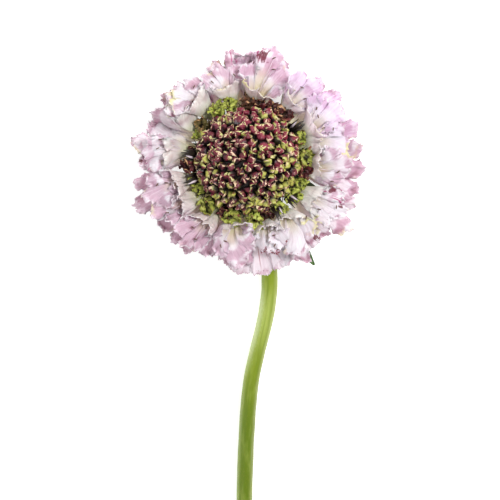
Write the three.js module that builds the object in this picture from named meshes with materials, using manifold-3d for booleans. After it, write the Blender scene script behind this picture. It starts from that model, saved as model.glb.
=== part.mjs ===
// A cut scabiosa flower that lies on a flat surface, in millimetres, +Z up.
//
// The stem lies along the surface towards -Y and bends up at its neck into the back of the flower head.
// The head faces up and leans towards +Y, so that it rests on the outer florets of its far side.
// A head is a great many small flowers on one receptacle. From the outside in it has a cup of green
// bracts, a lower and an upper whorl of frilled ray florets, a rim of green half-open buds, and a dome
// of closed burgundy buds. Everything on the head is made in the head's own frame, with its origin at
// the middle of the dome's foot and +Z out through the top of the dome, and one group leans it over.
import * as THREE from "three";
import { mergeVertices } from "three/addons/utils/BufferGeometryUtils.js";
import Module from "manifold-3d";

const wasm = await Module();
wasm.setup();

const TURN = 2 * Math.PI;
const radians = THREE.MathUtils.degToRad;

// ---- Driving dimensions ----
const HEAD_LEAN = radians(20); // how far the head leans from facing straight up
const HEAD_CENTRE = new THREE.Vector3(0, 51.8, 17.8); // middle of the dome's foot, above the surface
const STEM_RADIUS = 2.55;
const STEM_TOP_DEPTH = 9.3; // the stem meets the cup of bracts this far behind the dome's foot
const PETAL_THICKNESS = 0.7;
const SLIVER = 0.02; // facets narrower than this are closed where solids are fused
const BRACT_THICKNESS = 0.8;

// The closed buds go down the dome to an angle from its top. A bud sinks its root into the dome.
const DOME = { radius: 14.6, height: 12.6, foot: -4.8 };
const DOME_BUD = { count: 136, end: radians(69), radius: 1.14, height: 2.1 };
const RIM = { radius: 15.65, z: 1.5 };
const RIM_BUD = { count: 24, radius: 1.7, height: 2.6 };
const BUD_ROOT_DEPTH = 1.1;
const GOLDEN_ANGLE = Math.PI * (3 - Math.sqrt(5));

// Each floret leans sideways by its overlap, so that it laps over its neighbour as shingles do.
const LOWER = {
  rootRadius: 12.6, rootZ: -4.0, fan: radians(27),
  arch: 1.2, droop: 3.4, ruffle: 1.4, overlap: 0.2,
};
// A lower floret's azimuth in degrees, anticlockwise from +X, and its reach from the head's axis. The edge
// of one is hardly cut into lobes.
const LOWER_FLORETS = [
  [-5, 35.6], [20, 32.8], [40, 33.6], [79, 33.6], [101, 35], [124, 28.8], [149, 33.2], [172, 34.4],
  [200, 34.8], [218, 33.6], [236, 31.8], [255, 32.2], [274, 33.0], [300, 35.0], [324, 35.4],
];
const WHOLE_FLORET = { azimuth: 274, cut: 0.25 };
// Where the edge of its three lobes is, as a share of its length: in the middle, and how far it falls
// towards the sides and in the notches.
const LOWER_EDGE = { middle: 1.02, sides: 0.2, notches: 0.33 };

const UPPER = { count: 16, rootRadius: 13.2, rootZ: -1.9, lift: 1.8, ruffle: 0.7, overlap: 0.24 };
// An upper floret's tube opens at its throat into a funnel that leans outwards. The lip is its side towards
// the dome, which rises and spreads less than the rest.
const THROAT = { distance: 18.4, z: 0.3, radius: 0.9, share: 0.22 };
const FUNNEL = { lean: 5.8, lipRise: 4.2, lipReach: 0.35 };
const SHORT_SIDE = { azimuth: radians(272), by: 4.4 }; // the upper florets over the stem lean out less
// An upper floret's lobes by angle from its outward side, on both sides of it: half the angle that a lobe
// takes, how far it spreads, and the shares of that left at the notches before and after it.
const LOBES = [
  { middle: 0, half: 31, length: 6.8, notches: [0.34, 0.34] },
  { middle: 62, half: 31, length: 6.0, notches: [0.385, 0.385] },
  { middle: 136.5, half: 43.5, length: 5.2, notches: [0.445, 0.6] },
];
const LOBE_BULGE = 0.3; // how far a lobe's sides swell, as a share of the half angle that it takes
// How widely the upper florets differ: the width of the draw for each of their traits.
const VARIED = {
  place: 0.6, size: 0.36, overlap: 0.08, lift: 1.2, lean: 3.4, lipRise: 2.4, lipReach: 0.5,
  pitch: 0.4, yaw: 0.9, roll: 0.7, lobe: 0.36, cup: 2.6,
};

// A bract's azimuth in degrees and its reach from the head's axis. One is much longer than the rest.
const BRACTS = [
  [10, 22], [50, 20.5], [88, 19.5], [128, 20], [166, 22.5],
  [200, 23], [236, 22], [270, 21.5], [303, 36.5], [338, 23],
];
const BRACT = { rootRadius: 7.5, rootZ: -6.3, halfWidth: 1.7, fold: 0.35 };

// How far to the side the stem lies at each distance along -Y from the head's centre.
const STEM_RUN = [
  [15, 0.9], [22, 3.2], [31, 5.7], [40, 6.6], [48, 6.5], [57, 5.2],
  [67, 2.9], [78, 0.9], [92, -0.2], [108, -0.9], [122, -1.1], [135.6, -1.2],
];

// ---- Materials ----
const finish = (color, roughness) => new THREE.MeshStandardMaterial({ color, roughness, metalness: 0 });
const STEM_GREEN = finish(0x93ab45, 0.5);
const BRACT_GREEN = finish(0x5f8038, 0.6);
const BUD_BURGUNDY = finish(0x6b2236, 0.55);
const BUD_GREEN = finish(0x9bb04a, 0.55);
const PETAL_LILAC = finish(0xe2cfe0, 0.6);
const PETAL_WHITE = finish(0xeee2ee, 0.6);

// ---- Solids ----

// A repeatable draw from 0 to 1 for piece k. Each trait of a piece has a number of its own.
function draw(k, trait) {
  const s = Math.sin(k * 12.9898 + trait * 78.233) * 43758.5453;
  return s - Math.floor(s);
}

// The same draw, spread evenly about 0 by half of a range.
const spread = (k, trait, range) => range * (draw(k, trait) - 0.5);

function geometryOf(points, triangles) {
  const geometry = new THREE.BufferGeometry();
  const numbers = points.flatMap((point) => point.toArray());
  geometry.setAttribute("position", new THREE.Float32BufferAttribute(numbers, 3));
  geometry.setIndex(triangles.flat());
  return geometry;
}

function solidOf(geometry) {
  const bare = new THREE.BufferGeometry();
  bare.setAttribute("position", geometry.getAttribute("position"));
  if (geometry.index) bare.setIndex(geometry.index);
  const merged = mergeVertices(bare, 1e-3);
  return new wasm.Manifold(
    new wasm.Mesh({
      numProp: 3,
      vertProperties: Float32Array.from(merged.attributes.position.array),
      triVerts: Uint32Array.from(merged.index.array),
    }),
  );
}

function meshOf(solid, name, material) {
  const made = solid.getMesh();
  const points = [];
  for (let i = 0; i < made.vertProperties.length; i += made.numProp) {
    points.push(new THREE.Vector3(...made.vertProperties.slice(i, i + 3)));
  }
  const mesh = new THREE.Mesh(geometryOf(points, [...made.triVerts]), material);
  mesh.name = name;
  return mesh;
}

// Solids fused into one body. A hollow that the fusing seals is filled, and slivers and loose scraps go.
function joined(solids) {
  const bodies = wasm.Manifold.union(solids).simplify(SLIVER).decompose();
  return bodies.reduce((largest, body) => (body.volume() > largest.volume() ? body : largest));
}

// A solid of revolution about the head's axis. Its [radius, z] corners close up or end on the axis.
function turned(corners, segments) {
  const profile = corners.map(([radius, z]) => new THREE.Vector2(radius, z));
  return solidOf(new THREE.LatheGeometry(profile, segments).rotateX(Math.PI / 2));
}

function ring(inner, outer, bottom, top, segments) {
  const corners = [[inner, bottom], [outer, bottom], [outer, top], [inner, top], [inner, bottom]];
  return turned(corners, segments);
}

// The point at an outward and a sideways distance from the head's axis, at one azimuth.
function onHead(azimuth, out, side, z) {
  const [c, s] = [Math.cos(azimuth), Math.sin(azimuth)];
  return new THREE.Vector3(out * c - side * s, out * s + side * c, z);
}

// A point of a floret in its own frame, which its tip turns a little about a hub.
function tipped(point, hub, { pitch, yaw, roll }, part) {
  const turning = new THREE.Euler(roll * part, pitch * part, yaw * part, "ZYX");
  return point.sub(hub).applyEuler(turning).add(hub);
}

// The normal of a surface given by a function of two numbers. It points up where the surface lies flat.
function normalOf(surface, a, b) {
  const h = 0.01;
  const alongA = surface(a + h, b).sub(surface(a - h, b));
  const alongB = surface(a, b + h).sub(surface(a, b - h));
  return alongB.cross(alongA).normalize();
}

// A thin blade over surface(u, v), split into triangles alike on both faces. u runs across and v along.
function blade(surface, us, vs, thickness) {
  const [top, bottom] = [[], []];
  for (const v of vs) {
    for (const u of us) {
      const middle = surface(u, v);
      const offset = normalOf(surface, u, v).multiplyScalar(thickness / 2);
      top.push(middle.clone().add(offset));
      bottom.push(middle.clone().sub(offset));
    }
  }
  const count = top.length;
  const triangles = [];
  for (let row = 0; row + 1 < vs.length; row++) {
    for (let column = 0; column + 1 < us.length; column++) {
      const a = row * us.length + column;
      const [b, c, d] = [a + 1, a + us.length, a + us.length + 1];
      triangles.push([a, c, d], [a, d, b]);
      triangles.push([count + a, count + d, count + c], [count + a, count + b, count + d]);
    }
  }
  // Round the outline, so that the two faces close into one skin.
  const last = us.length - 1;
  const outline = [
    ...us.map((_, i) => i),
    ...vs.slice(1).map((_, i) => (i + 1) * us.length + last),
    ...us.slice(1).map((_, i) => count - 2 - i),
    ...vs.slice(1, -1).map((_, i) => (vs.length - 2 - i) * us.length),
  ];
  outline.forEach((a, i) => {
    const b = outline[(i + 1) % outline.length];
    triangles.push([a, b, count + b], [a, count + b, count + a]);
  });
  const points = [...top, ...bottom];
  const solid = solidOf(geometryOf(points, triangles));
  if (solid.volume() > 0) return solid;
  return solidOf(geometryOf(points, triangles.map(([a, b, c]) => [a, c, b])));
}

// A floret's limb over surface(angle, share), round a throat, whose underside runs down to a root.
function funnel(surface, angles, shares, throat, root, thickness) {
  const points = [throat, root];
  for (const share of shares) {
    for (const angle of angles) {
      const middle = surface(angle, share);
      const offset = normalOf(surface, angle, share).multiplyScalar(thickness / 2);
      points.push(middle.clone().add(offset), middle.clone().sub(offset));
    }
  }
  const round = angles.length;
  const at = (row, column, side) => 2 + 2 * (row * round + (column % round)) + side;
  const triangles = [];
  for (let column = 0; column < round; column++) {
    triangles.push([0, at(0, column, 0), at(0, column + 1, 0)]);
    triangles.push([1, at(0, column + 1, 1), at(0, column, 1)]);
    for (let row = 0; row + 1 < shares.length; row++) {
      const [a, b] = [at(row, column, 0), at(row, column + 1, 0)];
      const [c, d] = [at(row + 1, column, 0), at(row + 1, column + 1, 0)];
      triangles.push([a, c, d], [a, d, b]);
      triangles.push([a + 1, d + 1, c + 1], [a + 1, b + 1, d + 1]);
    }
    const edge = shares.length - 1;
    const [e, f] = [at(edge, column, 0), at(edge, column + 1, 0)];
    triangles.push([e, e + 1, f + 1], [e, f + 1, f]);
  }
  return solidOf(geometryOf(points, triangles));
}

// ---- Lower ray florets: three-lobed fans that droop outwards ----
function lowerSurface([degrees, tip], k) {
  const azimuth = radians(degrees);
  const length = tip - LOWER.rootRadius;
  const twist = LOWER.overlap + spread(k, 2, 0.08);
  const droop = LOWER.droop + 1.2 * draw(k, 3);
  const cut = degrees === WHOLE_FLORET.azimuth ? WHOLE_FLORET.cut : 1;
  return (u, v) => {
    const notches = Math.sin(1.5 * Math.PI * u) ** 6;
    const edge = LOWER_EDGE.middle - cut * (LOWER_EDGE.sides * u * u + LOWER_EDGE.notches * notches);
    const reach = length * edge * v + 0.6;
    const out = LOWER.rootRadius + reach * Math.cos(LOWER.fan * u);
    const side = (reach + 1.5) * Math.sin(LOWER.fan * u);
    const wave = LOWER.ruffle * Math.max(v, 0) ** 1.6 * Math.sin(TURN * (1.25 * u + draw(k, 4)));
    const along = LOWER.arch * Math.sin(Math.PI * Math.min(v, 1)) - droop * v * v;
    return onHead(azimuth, out, side, LOWER.rootZ + along + wave + twist * side);
  };
}

function lowerFlorets() {
  const across = [-1, -0.8, -0.55, -0.36, -0.16, 0.16, 0.36, 0.55, 0.8, 1];
  const along = [0, 0.35, 0.68, 1];
  const surfaces = LOWER_FLORETS.map(lowerSurface);
  const florets = surfaces.map((surface) => blade(surface, across, along, PETAL_THICKNESS));
  const [inner, outer] = [LOWER.rootRadius - 1, LOWER.rootRadius + 1.2];
  const base = ring(inner, outer, LOWER.rootZ - 0.8, LOWER.rootZ + 0.8, 30);
  return joined([base, ...florets]);
}

// ---- Upper ray florets: funnels with three large lobes outwards and a lip of two towards the dome ----
function upperSurface(k) {
  const azimuth = (TURN * (k + 0.5 + spread(k, 11, VARIED.place))) / UPPER.count;
  const size = 1 + spread(k, 12, VARIED.size);
  const twist = UPPER.overlap + spread(k, 13, VARIED.overlap);
  const lift = UPPER.lift + VARIED.lift * draw(k, 14);
  const stemward = Math.max(0, Math.cos(azimuth - SHORT_SIDE.azimuth)) ** 16;
  const lean = FUNNEL.lean - SHORT_SIDE.by * stemward + spread(k, 61, VARIED.lean);
  const lipRise = FUNNEL.lipRise + spread(k, 62, VARIED.lipRise);
  const lipReach = FUNNEL.lipReach + spread(k, 66, VARIED.lipReach);
  const tip = {
    pitch: spread(k, 63, VARIED.pitch),
    yaw: spread(k, 64, VARIED.yaw),
    roll: spread(k, 65, VARIED.roll),
  };
  const hub = new THREE.Vector3(THROAT.distance, 0, THROAT.z);
  return (angle, share) => {
    const around = angle > Math.PI ? angle - TURN : angle < -Math.PI ? angle + TURN : angle;
    const hand = around < 0 ? -1 : 1;
    const degrees = Math.abs(THREE.MathUtils.radToDeg(around));
    const nth = Math.max(0, LOBES.findIndex((l) => degrees <= l.middle + l.half + 1e-6));
    const lobe = LOBES[nth];
    const across = (degrees - lobe.middle) / lobe.half;
    const rounded = Math.max(0, Math.cos((across * Math.PI) / 2)) ** 0.7;
    const swell = share ** 2 * Math.sin(Math.PI * across);
    const turn = around + hand * radians(lobe.half) * LOBE_BULGE * swell;
    const opening = (share - THROAT.share) / (1 - THROAT.share);
    const outward = Math.cos(turn);
    const lip = THREE.MathUtils.smoothstep((1 - outward) / 2, 0, 1); // 1 towards the dome, 0 away from it
    const length = 1 + spread(k, 70 + hand * nth, VARIED.lobe);
    const notch = lobe.notches[across < 0 ? 0 : 1];
    const reach = lobe.length * (notch + (length - notch) * rounded) * size * share ** 0.9 + THROAT.radius;
    const out = THROAT.distance + lean * opening + reach * outward * (outward > 0 ? 1 : lipReach);
    const side = reach * Math.sin(turn);
    const rise = (1 - lip) * lift * Math.sin(2.4 * opening) + lip * lipRise * Math.max(0, opening) ** 0.8;
    const cup = (0.5 + spread(k, 80 + hand * nth, VARIED.cup)) * rounded * share ** 2;
    const waves = share ** 1.5 * Math.sin(5 * around + TURN * draw(k, 15)) * (0.65 + 0.35 * outward);
    const z = THROAT.z + rise + UPPER.ruffle * waves + cup + 0.5 * swell * hand + twist * side;
    return onHead(azimuth, ...tipped(new THREE.Vector3(out, side, z), hub, tip, opening));
  };
}

function upperFlorets() {
  const mirrored = LOBES.slice(1).reverse().map((lobe) => ({ ...lobe, middle: -lobe.middle }));
  const angles = [];
  for (const { middle, half } of [...mirrored, ...LOBES]) {
    const steps = Math.abs(middle) < 90 ? [-1, -0.5, 0, 0.5] : [-1, 0]; // the lip has fewer faces
    for (const step of steps) angles.push(radians(middle + step * half));
  }
  const florets = Array.from({ length: UPPER.count }, (_, k) => {
    const surface = upperSurface(k);
    const root = onHead((TURN * (k + 0.5)) / UPPER.count, UPPER.rootRadius, 0, UPPER.rootZ);
    const throat = surface(0, THROAT.share).add(surface(Math.PI, THROAT.share)).multiplyScalar(0.5);
    return funnel(surface, angles, [THROAT.share, 0.6, 1], throat.lerp(root, 0.15), root, PETAL_THICKNESS);
  });
  const [inner, outer] = [UPPER.rootRadius - 0.8, UPPER.rootRadius + 0.7];
  const base = ring(inner, outer, UPPER.rootZ - 0.6, UPPER.rootZ + 0.9, 28);
  return joined([base, ...florets]);
}

// ---- Buds ----

// A closed bud in its own frame, with +Z outwards, a sunk root and flat facets round its blunt point.
function bud({ radius, height }) {
  const sides = 5;
  const points = [new THREE.Vector3(0, 0, -BUD_ROOT_DEPTH), new THREE.Vector3(0, 0, height)];
  for (let i = 0; i < sides; i++) {
    const turn = (TURN * i) / sides;
    const corner = new THREE.Vector3(radius * Math.cos(turn), radius * Math.sin(turn), 0.62 * height);
    const foot = corner.clone().multiplyScalar(0.62).setZ(0.2 - BUD_ROOT_DEPTH);
    points.push(foot, corner);
  }
  const triangles = [];
  for (let i = 0; i < sides; i++) {
    const [a, b] = [2 + 2 * i, 2 + 2 * ((i + 1) % sides)];
    triangles.push([0, b, a], [a, b, b + 1], [a, b + 1, a + 1], [a + 1, b + 1, 1]);
  }
  return geometryOf(points, triangles);
}

// A bud set at a place, pointing along a direction, turned about it and scaled.
function setBud(geometry, place, direction, turn, scale) {
  const up = new THREE.Vector3(0, 0, 1);
  const pointing = new THREE.Quaternion().setFromUnitVectors(up, direction);
  const turning = new THREE.Quaternion().setFromAxisAngle(up, turn);
  const size = new THREE.Vector3(scale, scale, scale);
  const matrix = new THREE.Matrix4().compose(place, pointing.multiply(turning), size);
  return solidOf(geometry.clone().applyMatrix4(matrix));
}

// The dome is a smooth core with the closed buds set evenly over it, each a golden angle on from the last.
function domeBuds() {
  const profile = [[0, DOME.foot], [10.4, DOME.foot], [11.2, -3.0], [12.0, -0.7]];
  const steps = 4;
  for (let i = steps; i > 0; i--) {
    const fromTop = (i * Math.PI) / 2 / steps;
    profile.push([DOME.radius * Math.sin(fromTop), DOME.height * Math.cos(fromTop)]);
  }
  const core = turned([...profile, [0, DOME.height]], 18);
  const closed = bud(DOME_BUD);
  const buds = Array.from({ length: DOME_BUD.count }, (_, i) => {
    const fromTop = Math.acos(1 - ((1 - Math.cos(DOME_BUD.end)) * (i + 0.5)) / DOME_BUD.count);
    const [out, up] = [Math.sin(fromTop), Math.cos(fromTop)];
    const azimuth = i * GOLDEN_ANGLE;
    const place = onHead(azimuth, DOME.radius * out, 0, DOME.height * up);
    const direction = onHead(azimuth, out / DOME.radius, 0, up / DOME.height).normalize();
    return setBud(closed, place, direction, TURN * draw(i, 22), 1 + spread(i, 21, 0.16) + 0.06 * out);
  });
  return joined([core, ...buds]);
}

// The rim's buds are larger and rounder. They stand on a thin ring round the foot of the dome.
function rimBuds() {
  const open = bud(RIM_BUD);
  const buds = Array.from({ length: RIM_BUD.count }, (_, i) => {
    const azimuth = (TURN * (i + 0.5 * draw(i, 31))) / RIM_BUD.count;
    const direction = onHead(azimuth, 1, 0, 0.85 + 0.5 * draw(i, 32)).normalize();
    const place = onHead(azimuth, RIM.radius, 0, RIM.z + 0.4 * draw(i, 33));
    return setBud(open, place, direction, TURN * draw(i, 34), 1 + spread(i, 35, 0.3));
  });
  const base = ring(RIM.radius - 0.75, RIM.radius + 0.25, RIM.z - 1.1, RIM.z + 0.7, 24);
  return joined([base, ...buds]);
}

// ---- Cup of bracts: a shallow cup behind the florets, with narrow leaves folded along their midribs ----
function bractCup() {
  const corners = [[0, -9.0], [2.9, -9.0], [5.2, -8.0], [9.0, -7.0], [10.2, -6.2], [10.2, -5.3], [0, -5.3]];
  const leaves = BRACTS.map(([degrees, reach], k) => {
    const azimuth = radians(degrees);
    const halfWidth = BRACT.halfWidth + 0.4 * draw(k, 41);
    const surface = (u, v) => {
      const along = (reach - BRACT.rootRadius) * v;
      const width = halfWidth * Math.sin(Math.PI * (0.2 + 0.76 * v)) ** 0.8;
      const fall = 0.0085 * along ** 2 + 0.05 * along;
      const z = BRACT.rootZ - fall + BRACT.fold * width * Math.abs(u);
      return onHead(azimuth, BRACT.rootRadius + along, width * u, z);
    };
    return blade(surface, [-1, 0, 1], [0, 0.25, 0.5, 0.78, 1], BRACT_THICKNESS);
  });
  return joined([turned(corners, 24), ...leaves]);
}

// ---- Stem: from the cup down through the neck's bend and along the surface to the cut end ----
function stemLine() {
  const down = new THREE.Vector3(0, -Math.sin(HEAD_LEAN), -Math.cos(HEAD_LEAN));
  const top = HEAD_CENTRE.clone().addScaledVector(down, STEM_TOP_DEPTH);
  const neck = top.clone().addScaledVector(down, 2.2);
  const bend = new THREE.Vector3(0.2, HEAD_CENTRE.y - 8.4, STEM_RADIUS + 1.05);
  const z = STEM_RADIUS + 0.05; // the curve dips this little past the points that it runs through
  const run = STEM_RUN.map(([along, side]) => new THREE.Vector3(side, HEAD_CENTRE.y - along, z));
  return new THREE.CatmullRomCurve3([top, neck, bend, ...run], false, "centripetal");
}

function stem() {
  const sides = 10;
  const section = new THREE.Shape();
  for (let i = 0; i < sides; i++) {
    const turn = (TURN * (i + 0.5)) / sides;
    const corner = [STEM_RADIUS * Math.cos(turn), STEM_RADIUS * Math.sin(turn)];
    if (i) section.lineTo(...corner);
    else section.moveTo(...corner);
  }
  return solidOf(new THREE.ExtrudeGeometry(section, { steps: 36, extrudePath: stemLine() }));
}

// ---- Assembly ----

// The lower florets that reach the surface lie flat on it: what would be below it is trimmed off, by the
// plane that the surface is in the head's own frame.
const upInHead = [0, -Math.sin(HEAD_LEAN), Math.cos(HEAD_LEAN)];
const aboveSurface = (solid) => solid.trimByPlane(upInHead, -HEAD_CENTRE.z);

const head = new THREE.Group();
head.position.copy(HEAD_CENTRE);
head.rotation.x = -HEAD_LEAN;
head.add(
  meshOf(domeBuds(), "dome_buds", BUD_BURGUNDY),
  meshOf(rimBuds(), "rim_buds", BUD_GREEN),
  meshOf(upperFlorets(), "ray_florets_upper", PETAL_WHITE),
  meshOf(aboveSurface(lowerFlorets()), "ray_florets_lower", PETAL_LILAC),
  meshOf(bractCup(), "involucre", BRACT_GREEN),
);

const flower = new THREE.Group();
flower.add(head, meshOf(stem(), "stem", STEM_GREEN));

export default flower;
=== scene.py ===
import math

import bmesh
import bpy
from mathutils import Matrix, Vector, geometry, noise


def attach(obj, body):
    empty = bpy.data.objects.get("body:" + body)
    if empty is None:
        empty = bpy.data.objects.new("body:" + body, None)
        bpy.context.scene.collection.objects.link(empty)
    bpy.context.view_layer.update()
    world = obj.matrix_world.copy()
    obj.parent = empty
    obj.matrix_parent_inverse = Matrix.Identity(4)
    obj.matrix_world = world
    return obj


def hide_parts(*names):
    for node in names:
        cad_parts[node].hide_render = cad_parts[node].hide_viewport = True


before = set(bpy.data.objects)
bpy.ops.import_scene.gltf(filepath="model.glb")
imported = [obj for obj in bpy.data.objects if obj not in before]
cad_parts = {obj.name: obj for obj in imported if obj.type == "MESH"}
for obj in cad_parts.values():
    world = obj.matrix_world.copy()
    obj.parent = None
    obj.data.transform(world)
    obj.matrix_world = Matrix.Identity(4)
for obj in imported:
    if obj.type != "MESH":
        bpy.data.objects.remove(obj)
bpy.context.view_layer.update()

# ---- Table, light and camera ----
# The flower lies on a pale table under two soft lights, and the camera looks down on it, square to the
# head. The head leans away from the stem, so the camera leans with it.
HEAD_LEAN = math.radians(20)
HEAD_CENTRE = Vector((0, 0.0518, 0.0178))
HEAD = Matrix.Translation(HEAD_CENTRE) @ Matrix.Rotation(-HEAD_LEAN, 4, "X")
CAMERA_DISTANCE = 0.547
CAMERA_TARGET = Vector((0.0007, -0.026, 0))  # in the head's frame: it brings the stem into view
TABLE_WIDTH = 16.0


def linear(red, green, blue):
    """A colour given as screen values from 0 to 255, as the light values that shaders take."""
    light = [((c / 255 + 0.055) / 1.055) ** 2.4 if c > 10 else c / 3294.6 for c in (red, green, blue)]
    return (*light, 1)


camera = bpy.data.objects.new("camera", bpy.data.cameras.new("camera"))
camera.data.lens = 135
camera.data.sensor_width = 36
camera.data.clip_start = 0.01
camera.data.clip_end = 20
camera.matrix_world = HEAD @ Matrix.Translation(CAMERA_TARGET + Vector((0, 0, CAMERA_DISTANCE)))
bpy.context.collection.objects.link(camera)
bpy.context.scene.camera = camera
bpy.context.scene.view_settings.view_transform = "Standard"

world = bpy.data.worlds.new("studio")
world.use_nodes = True
world.node_tree.nodes["Background"].inputs["Color"].default_value = (1, 1, 1, 1)
world.node_tree.nodes["Background"].inputs["Strength"].default_value = 0.48
bpy.context.scene.world = world


def add_soft_light(name, place, size, power):
    """A round light that faces the flower's head."""
    light = bpy.data.lights.new(name, "AREA")
    light.shape = "DISK"
    light.size = size
    light.energy = power
    lamp = bpy.data.objects.new(name, light)
    facing = (place - HEAD_CENTRE).to_track_quat("Z", "Y").to_matrix().to_4x4()
    lamp.matrix_world = Matrix.Translation(place) @ facing
    bpy.context.collection.objects.link(lamp)


add_soft_light("key_light", Vector((0.36, 0.5, 0.88)), 0.22, 9.8)
add_soft_light("fill_light", Vector((-0.7, -0.1, 0.7)), 1.2, 2.5)


def as_mesh(name, bm):
    """Turns a bmesh into a mesh, and clears the bmesh away."""
    mesh = bpy.data.meshes.new(name)
    bm.to_mesh(mesh)
    bm.free()
    return mesh


table_bm = bmesh.new()
bmesh.ops.create_grid(table_bm, x_segments=1, y_segments=1, size=TABLE_WIDTH / 2)
table_mesh = as_mesh("table", table_bm)
table = bpy.data.objects.new("table", table_mesh)
bpy.context.collection.objects.link(table)
table_paint = bpy.data.materials.new("table_paint")
table_paint.use_nodes = True
table_shader = table_paint.node_tree.nodes["Principled BSDF"]
table_shader.inputs["Base Color"].default_value = (0.93, 0.93, 0.93, 1)
table_shader.inputs["Roughness"].default_value = 0.9
table_shader.inputs["Emission Color"].default_value = (1, 1, 1, 1)
table_shader.inputs["Emission Strength"].default_value = 0.55  # as a light table
table_mesh.materials.append(table_paint)


# ---- Stem ----
# One green stem with shallow ribs, from the cup behind the head, through the bend of its neck and along
# the table to a square cut. The cut shows a pale green wall round a paler, sunken pith.
STEM_RADIUS = 2.55
STEM_RIBS = 9
STEM_RUN = [  # its run along the table: how far from the head's middle, and how far to the side
    (15, 0.9), (22, 3.2), (31, 5.7), (40, 6.6), (48, 6.5), (57, 5.2),
    (67, 2.9), (78, 0.9), (92, -0.2), (108, -0.9), (122, -1.1), (135.6, -1.2),
]
STEM_TOP = 9.3  # how far behind the head's middle the stem starts
NECK_LENGTH = 2.2  # how far it then runs straight on
BEND_FOOT = (0.2, 8.4, 1.05)  # the bend's lower end: to the side, along the table, and above the stem's run
RIB_CLEARANCE = 0.05  # keeps the ribs off the table
MM = Matrix.Scale(0.001, 4)  # the flower's pieces are drawn in millimetres


def draw(k, trait):
    """A repeatable draw from 0 to 1 for piece k. Each trait of a piece has a number of its own."""
    s = math.sin(k * 12.9898 + trait * 78.233) * 43758.5453
    return s - math.floor(s)


def spread(k, trait, width):
    return width * (draw(k, trait) - 0.5)


def new_piece(name, bm, place, materials):
    """Makes a piece of a mesh drawn in millimetres and sets it in its place."""
    bmesh.ops.transform(bm, matrix=place @ MM, verts=bm.verts)
    mesh = as_mesh(name, bm)
    mesh.shade_smooth()
    for material in materials:
        mesh.materials.append(material)
    piece = bpy.data.objects.new(name, mesh)
    bpy.context.collection.objects.link(piece)
    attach(piece, "root")
    return piece


def stand_for(node, bm, place, materials):
    """Makes a piece that stands for a CAD node."""
    piece = new_piece(node + "_fine", bm, place, materials)
    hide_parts(node)
    return piece


def directions_along(points):
    """The direction of a line of points at each of them."""
    last = len(points) - 1
    return [(points[min(i + 1, last)] - points[max(i - 1, 0)]).normalized() for i in range(last + 1)]


def stem_line():
    """Points along the stem's middle, in millimetres, through the bend of its neck."""
    head_mm = HEAD_CENTRE * 1000
    down = Vector((0, -math.sin(HEAD_LEAN), -math.cos(HEAD_LEAN)))
    top = head_mm + down * STEM_TOP
    side, along, raised = BEND_FOOT
    knots = [top, top + down * NECK_LENGTH, Vector((side, head_mm.y - along, STEM_RADIUS + raised))]
    knots += [Vector((side, head_mm.y - along, STEM_RADIUS + RIB_CLEARANCE)) for along, side in STEM_RUN]
    slopes = directions_along(knots)
    slopes[0] = down
    points = []
    for i in range(len(knots) - 1):
        reach = (knots[i + 1] - knots[i]).length
        steps = max(2, round(reach / 1.2))
        start, end = knots[i] + slopes[i] * reach / 3, knots[i + 1] - slopes[i + 1] * reach / 3
        points += list(geometry.interpolate_bezier(knots[i], start, end, knots[i + 1], steps + 1))[:-1]
    points.append(knots[-1])
    return points


stem_bm = bmesh.new()
unbent = stem_bm.verts.layers.float_vector.new("unbent")  # where a point would be on a straight stem
points = stem_line()
directions = directions_along(points)
bmesh.ops.create_circle(stem_bm, segments=36, radius=STEM_RADIUS)
ring = list(stem_bm.verts)
section = []
for vert in ring:
    turn = math.atan2(vert.co.y, vert.co.x)
    section.append(vert.co * (1 + 0.01 * math.cos(STEM_RIBS * turn)))
turning = Vector((0, 0, 1)).rotation_difference(directions[0])
along = 0.0
for i, (point, direction) in enumerate(zip(points, directions)):
    if i:
        edges = [edge for vert in ring for edge in vert.link_edges if all(v in ring for v in edge.verts)]
        made = set(bmesh.ops.extrude_edge_only(stem_bm, edges=list(dict.fromkeys(edges)))["geom"])
        linked = [[edge.other_vert(vert) for edge in vert.link_edges] for vert in ring]
        ring = [next(vert for vert in around if vert in made) for around in linked]
        turning = directions[i - 1].rotation_difference(direction) @ turning
        along += (point - points[i - 1]).length
    # a little thicker under the head, and a little thinner midway
    swell = 1 + 0.05 * math.exp(-along / 9) - 0.03 * math.exp(-(((along - 60) / 40) ** 2))
    for vert, local in zip(ring, section):
        rough = 0.035 * noise.noise(Vector((local.x, local.y, along * 0.25)))
        place = local * (swell + rough)
        vert.co = point + turning @ place
        vert[unbent] = (local.x, local.y, along)
end_edges = [edge for edge in stem_bm.edges if all(vert in ring for vert in edge.verts)]
cut_face = bmesh.ops.contextual_create(stem_bm, geom=end_edges)["faces"]
bmesh.ops.inset_region(stem_bm, faces=cut_face, thickness=0.12, depth=0.06)
for face in bmesh.ops.inset_region(stem_bm, faces=cut_face, thickness=0.75, depth=0.0)["faces"]:
    face.material_index = 1
bmesh.ops.inset_region(stem_bm, faces=cut_face, thickness=0.1, depth=-0.35)
for face in cut_face:
    face.material_index = 2
bmesh.ops.recalc_face_normals(stem_bm, faces=stem_bm.faces)


def start_material(name, roughness):
    """A new material, its node tree and its shader, whose constant values are set on the shader itself."""
    material = bpy.data.materials.new(name)
    material.use_nodes = True
    shader = material.node_tree.nodes["Principled BSDF"]
    shader.inputs["Roughness"].default_value = roughness
    return material, material.node_tree, shader


def read(tree, attribute, output="Fac"):
    """An attribute of the piece's own mesh."""
    node = tree.nodes.new("ShaderNodeAttribute")
    node.attribute_name = attribute
    return node.outputs[output]


def scaled(tree, vector, scale):
    """A vector stretched by a scale for each axis."""
    node = tree.nodes.new("ShaderNodeVectorMath")
    node.operation = "MULTIPLY"
    node.inputs[1].default_value = scale
    tree.links.new(vector, node.inputs[0])
    return node.outputs[0]


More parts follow.
